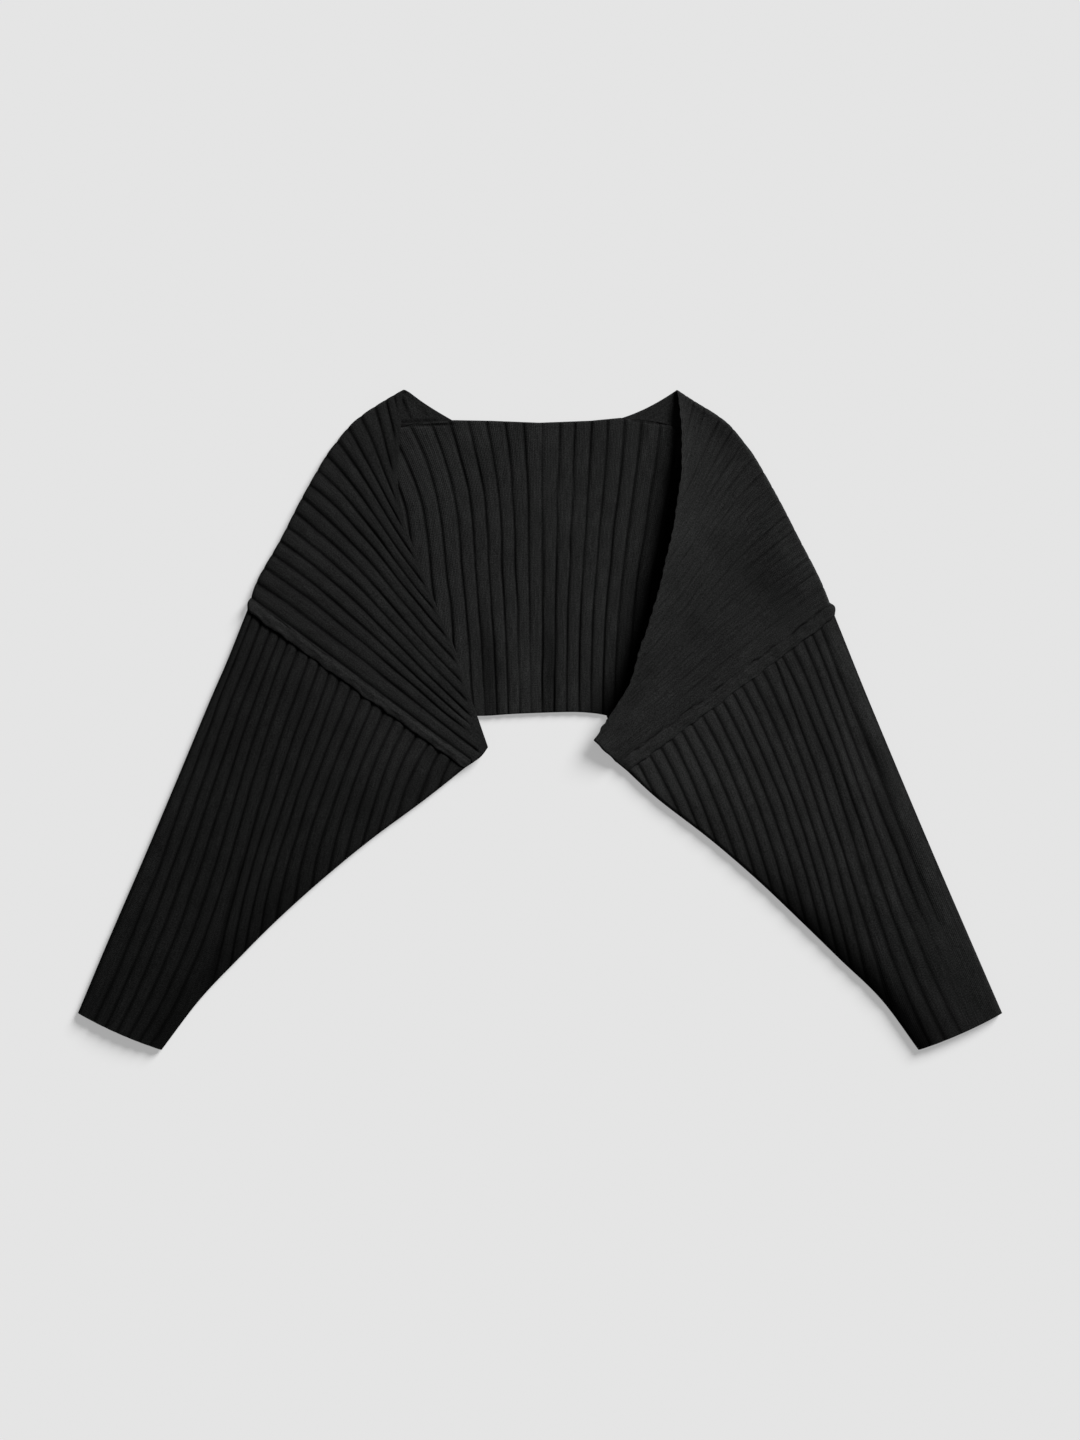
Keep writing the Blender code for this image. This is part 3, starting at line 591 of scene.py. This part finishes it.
def back(finish):
    """One sheet, whose ribs fan out from the neck edge to the hem."""
    knit = KNIT["back"]
    seen = rib_places(-SEEN_RIBS, SEEN_RIBS, 10)
    ribs = np.concatenate([
        rib_places(BACK_FIRST_RIB, -SEEN_RIBS, 4)[:-1], seen,
        rib_places(SEEN_RIBS, BACK_LAST_RIB, 4)[1:]])
    far = max(-BACK_FIRST_RIB, BACK_LAST_RIB)
    steps = np.arange(far + 1)
    spots = np.where(steps <= PITCH_CHANGE, steps * BACK_PITCH,
                     PITCH_CHANGE * BACK_PITCH + (steps - PITCH_CHANGE) * BACK_SIDE_PITCH)
    out = np.sign(ribs) * np.interp(np.abs(ribs), steps, spots)
    fans = [smooth_line([(fan.y, getattr(fan, side)) for fan in BACK_FAN]) for side in SIDES]

    def across(y):
        return BACK_MIDDLE + out * np.where(out < 0, *[np.interp(y, *fan.T) for fan in fans])

    def meet(edge):
        """Where each rib line crosses an edge, by halving."""
        low, high = np.full_like(out, -60.0), np.full_like(out, 310.0)
        for _ in range(40):
            middle = (low + high) / 2
            over = middle > edge(across(middle))
            low, high = np.where(over, low, middle), np.where(over, middle, high)
        return (low + high) / 2

    top, bottom = back_edges()
    upper = meet(lambda x: np.interp(x, top[:, 0], top[:, 1]))
    lower = meet(lambda x: np.interp(x, bottom[:, 0], bottom[:, 1]))
    length = upper - lower
    free = front_lines("right")[-1]
    places, pattern, crown, painted_shading = [], [], [], []
    downs = [np.full_like(length, value) for value in NECK_ROWS]
    for step in range(1, BACK_ROWS):
        downs.append(NECK_ROWS[-1] + (length - NECK_ROWS[-1] - HEM_ROWS[0]) * step / BACK_ROWS)
    downs += [length - value for value in HEM_ROWS]
    for down in downs:
        y = upper - down
        spot = np.stack([across(y), y], -1)
        wobble = 0.06 * uneven(ribs * 0.9, down / 34, 31)
        rise = rib_rise(ribs + wobble, knit.groove, knit.dome)
        weak = np.clip(0.95 + 0.4 * uneven(ribs * 0.8 + 40, down / 70, 34), 0.5, 1.1)
        weak = weak - 0.6 * soft_patches(FLAT_PLACES, "back", spot)
        rise = 1 - (1 - rise) * weak
        deepen = 1 + 0.6 * ease(down, 150, 250) * np.clip(uneven(ribs * 1.0, down / 90, 33), -0.6, 1)
        edge = np.minimum(down, length - down)
        lip = BACK_LIP * (1 - np.clip(edge / 1.4, 0, 1)) ** 2
        # Painted shade lines inside the neck peaks, which also dip the cloth.
        for side, sign in SIDES.items():
            rise = np.where(down < NECK_BAND, rise * dark_lines(side, spot * [sign, 1]), rise)
        # Painted shade along the neck edge, where the cloth also dips a little.
        rise = rise * (1 - 0.5 * np.exp(-(down / 0.8) ** 2))
        body = 0.3 * (1 + uneven(ribs * 0.6, down / 40, 32))
        height = WALL + knit.depth + body - knit.depth * deepen * (1 - rise) - lip
        height = np.maximum(height, WALL + 0.02)
        places.append(np.concatenate([spot, height[:, None]], -1))
        pattern.append(np.stack([ribs, down / 10], -1))
        crown.append(rise)
        # Painted shadow of the raised right free edge, cast on the back beside it.
        flap_shadow = np.exp(-(distance_to(free, spot) / PAINTED_FLAP_SHADOW_REACH) ** 2)
        painted_shading.append(1 - PAINTED_FLAP_SHADOW * flap_shadow * ease(down, 0, 60))
    stack = [np.stack(values, 1) for values in (places, pattern, crown)]
    return knit_sheet("back_knit", *stack, 1, finish, np.stack(painted_shading, 1))


def sleeve_lines(side):
    """A function that places a point of the flat sleeve, by rib and share of the length, and the
    sleeve's outer and underarm edges."""
    outer, under = armhole(side, towards_body=False)
    outside = smooth_line([tuple(outer)] + [(getattr(spot, side), spot.y) for spot in SLEEVE_OUTER])
    inside = smooth_line([(getattr(spot, side), spot.y) for spot in SLEEVE_UNDER] + [tuple(under)])
    cuff_out, cuff_in = outside[-1], inside[0]
    cuff_width, inward = np.linalg.norm(cuff_out - cuff_in), unit(cuff_out - cuff_in)
    bow = np.array([inward[1], -inward[0]])
    bow = bow if bow[1] < 0 else -bow
    fan_rows = np.array(SLEEVE_FAN[side])

    def flat_place(ribs, share):
        seam, run, *slopes = [np.interp(ribs, fan_rows[:, 0], values)[..., None]
                              for values in fan_rows.T[1:]]
        start = outer + (under - outer) * seam
        cuff = np.clip(1 + run / cuff_width, 0, 1)
        on_cuff = cuff_out + (cuff_in - cuff_out) * cuff + bow * CUFF_BOW * 4 * cuff * (1 - cuff)
        under_edge = along(inside, np.maximum(run[..., 0], 0) / lengths(inside)[-1])
        end = np.where(run <= 0, on_cuff, under_edge)
        reach = np.linalg.norm(end - start, axis=-1)[..., None]
        leave, arrive = [
            np.concatenate([np.cos(np.radians(slope)), -np.sin(np.radians(slope))], -1) * reach
            for slope in slopes
        ]
        s = share[..., None]
        side_bow = along(outside, share) - (outer + (cuff_out - outer) * s)
        side_bow = side_bow * (1 - ribs / SLEEVE_RIBS[side])[..., None]
        return soft_bend(start, leave, arrive, end, s) + side_bow

    return flat_place, outside, inside


def sleeve(side, finish):
    """A tube, from the underarm over the lower layer, round the outer edge and back on top."""
    flat_place, outside, inside = sleeve_lines(side)
    knit, all_ribs, corner = KNIT["sleeve_" + side], SLEEVE_RIBS[side], CORNER_RIB[side]
    beside_corner = np.linspace(corner, corner + 0.5, 9)
    top_ribs, under_ribs = [
        np.unique(np.append(rib_places(0, all_ribs, steps), beside_corner).round(4))
        for steps in (9, 5)
    ]
    columns = np.concatenate([-under_ribs[:0:-1], top_ribs])
    ribs = np.abs(columns)
    at_seam, at_cuff = [flat_place(ribs, np.full_like(ribs, share)) for share in (0, 1)]
    full = np.linalg.norm(at_cuff - at_seam, axis=-1)
    shares = [np.full_like(ribs, value) for value in SEAM_ROWS]
    for step in range(1, SLEEVE_ROWS + 1):
        shares.append(SEAM_ROWS[-1] + (1 - CUFF_BAND / full - SEAM_ROWS[-1]) * step / SLEEVE_ROWS)
    shares += [1 - value / full for value in CUFF_ROWS]
    share = np.stack(shares, 1)
    ribs = np.broadcast_to(ribs[:, None], share.shape)
    upper = np.broadcast_to((columns >= 0)[:, None], share.shape)
    flat = flat_place(ribs, share)
    down = share * full[:, None]

    wobble = 0.05 * uneven(ribs * 0.9, down / 36, 41 + SIDES[side])
    wobble = wobble * ease(ribs, 0, 1) * ease(all_ribs - ribs, 0, 1)
    rise = rib_rise(ribs + wobble, knit.groove, knit.dome)
    if side == "right":  # the ribs are pressed flat towards the outer corner of the cuff
        pressed = 0.9 * ease(-flat[..., 1], 140, 220) * ease(3.6 - ribs, 0, 1.6)
        rise = 1 - (1 - rise) * (1 - pressed)

    to_outer, to_inner = distance_to(outside, flat), distance_to(inside, flat)
    inner_share = (1 - np.exp(-to_outer / LOFT_REACH)) * (1 - np.exp(-to_inner / LOFT_REACH))
    soft = np.clip(3 * inner_share, 0, 1)
    loft = SLEEVE_LOFT * inner_share * (0.25 + 0.75 * ease(down, 0, 30))
    hollow = SLEEVE_HOLLOW + loft + soft_patches(FOLDS, "sleeve_" + side, flat) * soft
    body = 0.45 * uneven(ribs * 0.5, down / 45, 44 + SIDES[side]) * soft
    ceiling = UNDER_LAYER + np.maximum(hollow, LEAST_HOLLOW) + body
    top = ceiling + WALL + RIB - knit.depth + knit.depth * rise * ease(down, -1, 3)
    low = RIB * HIDDEN_RELIEF * (1 - rise)
    round_edge = 1.0
    for gap in (to_outer, to_inner):
        round_edge = round_edge * np.sqrt(1 - (1 - np.clip(gap / EDGE_ROUND, 0, 1)) ** 2)
    height = EDGE_MIDDLE + (np.where(upper, top, low) - EDGE_MIDDLE) * round_edge

    # Painted shade along the lower underarm edge, and painted light near its upper end.
    dark, reach = PAINTED_UNDERARM_SHADE[side]
    painted_shading = 1 - dark * np.exp(-(to_inner / reach) ** 2) * ease(-flat[..., 1], 90, 200)
    painted_shading = painted_shading + PAINTED_UNDERARM_LIGHT * ease(flat[..., 1], -110, -40) * ease(flat[..., 0], 230, 130)
    places = np.concatenate([flat, height[..., None]], -1)
    pattern = np.stack([ribs, down / 10], -1)
    return knit_sheet("sleeve_" + side + "_knit", places, pattern, rise, SIDES[side], finish, painted_shading)


def knit_finish(name, pale, wales, course):
    """Matt black wool: rows of small V-shaped stitches along the ribs, loose fibres, and painted
    shade.
    """
    finish = bpy.data.materials.new(name)
    finish.use_nodes = True
    nodes, links = finish.node_tree.nodes, finish.node_tree.links
    surface = nodes["Principled BSDF"]
    surface.inputs["Roughness"].default_value = 0.92
    surface.inputs["Specular IOR Level"].default_value = 0.03

    def maths(operation, first, second=None):
        node = nodes.new("ShaderNodeMath")
        node.operation = operation
        for socket, value in zip(node.inputs, (first, second)):
            if isinstance(value, (int, float)):
                socket.default_value = value
            elif value is not None:
                links.new(value, socket)
        return node.outputs[0]

    place = nodes.new("ShaderNodeUVMap")
    place.uv_map = "knit"
    split = nodes.new("ShaderNodeSeparateXYZ")
    links.new(place.outputs["UV"], split.inputs[0])
    wale = maths("MULTIPLY", split.outputs["X"], wales)
    leg = maths("PINGPONG", wale, 0.5)
    slant = maths("MULTIPLY_ADD", split.outputs["Y"], 1 / course)
    links.new(maths("MULTIPLY", leg, 1.2), slant.node.inputs[2])
    stitch = maths("SINE", maths("MULTIPLY", slant, 2 * np.pi))
    furrow = maths("SINE", maths("MULTIPLY", leg, 2 * np.pi))
    loop_height = maths("ADD", maths("MULTIPLY", stitch, 0.35), furrow)

    coordinate = nodes.new("ShaderNodeTexCoord").outputs["Object"]
    stretch = nodes.new("ShaderNodeVectorMath")
    stretch.operation = "MULTIPLY"
    stretch.inputs[1].default_value = (1.7 * wales, 0.5, 0)
    links.new(place.outputs["UV"], stretch.inputs[0])

    def mottle(vector, scale, detail, low, high):
        """A cloudy pattern that runs from low to high."""
        cloud = nodes.new("ShaderNodeTexNoise")
        cloud.inputs["Scale"].default_value = scale
        cloud.inputs["Detail"].default_value = detail
        links.new(vector, cloud.inputs["Vector"])
        span = nodes.new("ShaderNodeMapRange")
        span.inputs["From Min"].default_value = 0.3
        span.inputs["From Max"].default_value = 0.7
        span.inputs["To Min"].default_value = low
        span.inputs["To Max"].default_value = high
        links.new(cloud.outputs["Fac"], span.inputs["Value"])
        return span.outputs["Result"]

    fibre = mottle(coordinate, 800, 2, 0, 1)
    relief = nodes.new("ShaderNodeBump")
    relief.inputs["Strength"].default_value = 0.6
    relief.inputs["Distance"].default_value = 0.0003
    links.new(maths("ADD", loop_height, maths("MULTIPLY", fibre, 0.8)), relief.inputs["Height"])
    links.new(relief.outputs["Normal"], surface.inputs["Normal"])

    def attribute(name):
        node = nodes.new("ShaderNodeAttribute")
        node.attribute_name = name
        return node.outputs["Fac"]

    # Painted shade: the crown attribute draws the grooves darker, and the next attribute carries each
    # piece's painted light and shade.
    light = maths("MULTIPLY_ADD", maths("POWER", attribute("crown"), 1.3), PAINTED_CROWN_LIGHT)
    light.node.inputs[2].default_value = PAINTED_GROOVE_LIGHT
    for share in (attribute("painted_light"), mottle(coordinate, 900, 2, 0.55, 1.45),
                  mottle(stretch.outputs[0], 1, 2, 0.75, 1.25), mottle(coordinate, 30, 2, 0.9, 1.1)):
        light = maths("MULTIPLY", light, share)
    blend = nodes.new("ShaderNodeMix")
    blend.data_type = "RGBA"
    blend.inputs["A"].default_value = (0, 0, 0, 1)
    blend.inputs["B"].default_value = (*pale, 1)
    links.new(light, blend.inputs["Factor"])
    links.new(blend.outputs["Result"], surface.inputs["Base Color"])
    return finish


def studio():
    """A pale floor, a soft key light from the upper right, and an even fill."""
    mesh = bmesh.new()
    bmesh.ops.create_grid(mesh, x_segments=1, y_segments=1, size=FLOOR_SIZE)
    data = bpy.data.meshes.new("floor")
    mesh.to_mesh(data)
    mesh.free()
    paper = bpy.data.materials.new("floor_paper")
    paper.use_nodes = True
    surface = paper.node_tree.nodes["Principled BSDF"]
    surface.inputs["Base Color"].default_value = (FLOOR_GREY, FLOOR_GREY, FLOOR_GREY, 1)
    surface.inputs["Roughness"].default_value = 1
    surface.inputs["Specular IOR Level"].default_value = 0
    surface.inputs["Emission Color"].default_value = (1, 1, 1, 1)
    surface.inputs["Emission Strength"].default_value = FLOOR_GLOW
    data.materials.append(paper)
    floor = bpy.data.objects.new("floor", data)
    bpy.context.scene.collection.objects.link(floor)
    floor.location.z = -0.0005

    key = bpy.data.lights.new("key", "SUN")
    key.energy = KEY_POWER
    key.angle = np.radians(KEY_SPREAD)
    lamp = bpy.data.objects.new("key", key)
    lamp.rotation_euler = (0, np.radians(KEY_TILT), np.radians(KEY_TURN))
    bpy.context.scene.collection.objects.link(lamp)

    world = bpy.data.worlds.new("studio")
    world.use_nodes = True
    fill = world.node_tree.nodes["Background"]
    fill.inputs["Color"].default_value = (1, 1, 1, 1)
    fill.inputs["Strength"].default_value = FILL_POWER
    bpy.context.scene.world = world
    bpy.context.scene.view_settings.view_transform = "Standard"


def camera():
    """Straight above, so that the garment is as large in the picture as in the photo."""
    tall = PHOTO_TALL * PIXEL * MM
    lens, film = 135, 36
    data = bpy.data.cameras.new("camera")
    data.lens, data.sensor_width = lens, film
    above = bpy.data.objects.new("camera", data)
    above.location = (0, 0, tall * lens / film)
    bpy.context.scene.collection.objects.link(above)
    bpy.context.scene.camera = above


OUTSIDE = knit_finish("rib_knit", (0.026, 0.0265, 0.0262), 6, 0.16)
INSIDE = knit_finish("rib_knit_inside", (0.027, 0.0275, 0.0272), 5, 0.16)

pieces = {"back": back(INSIDE)}
for side in SIDES:
    pieces["front_" + side] = front(side, OUTSIDE)
    pieces["sleeve_" + side] = sleeve(side, OUTSIDE)

studio()
camera()
for node, piece in pieces.items():
    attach(piece, "root")
    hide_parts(node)
